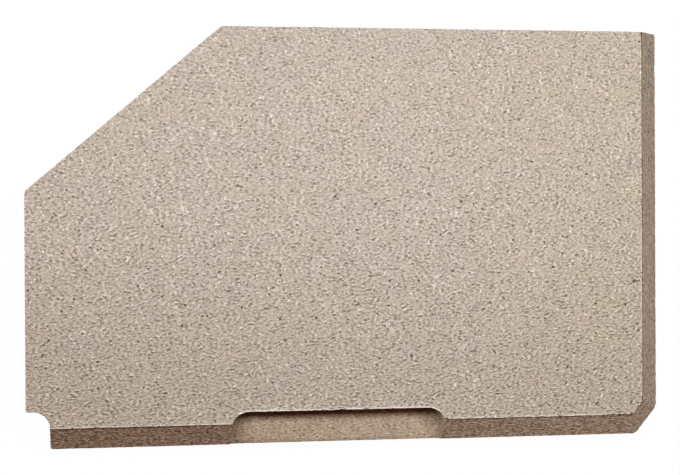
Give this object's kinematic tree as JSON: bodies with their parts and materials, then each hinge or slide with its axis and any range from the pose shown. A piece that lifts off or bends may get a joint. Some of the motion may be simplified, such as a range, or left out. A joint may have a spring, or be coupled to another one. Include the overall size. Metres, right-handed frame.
{
  "type": "stove side brick",
  "caption": "Flat firebox side brick of pressed vermiculite, with a sloped corner, a bevelled front edge, a milled pocket in its foot and a notched corner.",
  "frame": {"origin": "on the back face, under the middle of the box round the outline", "axes": "+X along the length, towards the bevelled end; +Y up the height, away from the pocketed bottom side; +Z out of the front face, which faces the fire"},
  "size_m": [0.3, 0.193, 0.025],
  "materials": {
    "vermiculite": "matte, granular, pressed from fine flakes"
  },
  "bodies": {
    "root": {"side_brick": "vermiculite"}
  },
  "joints": []
}
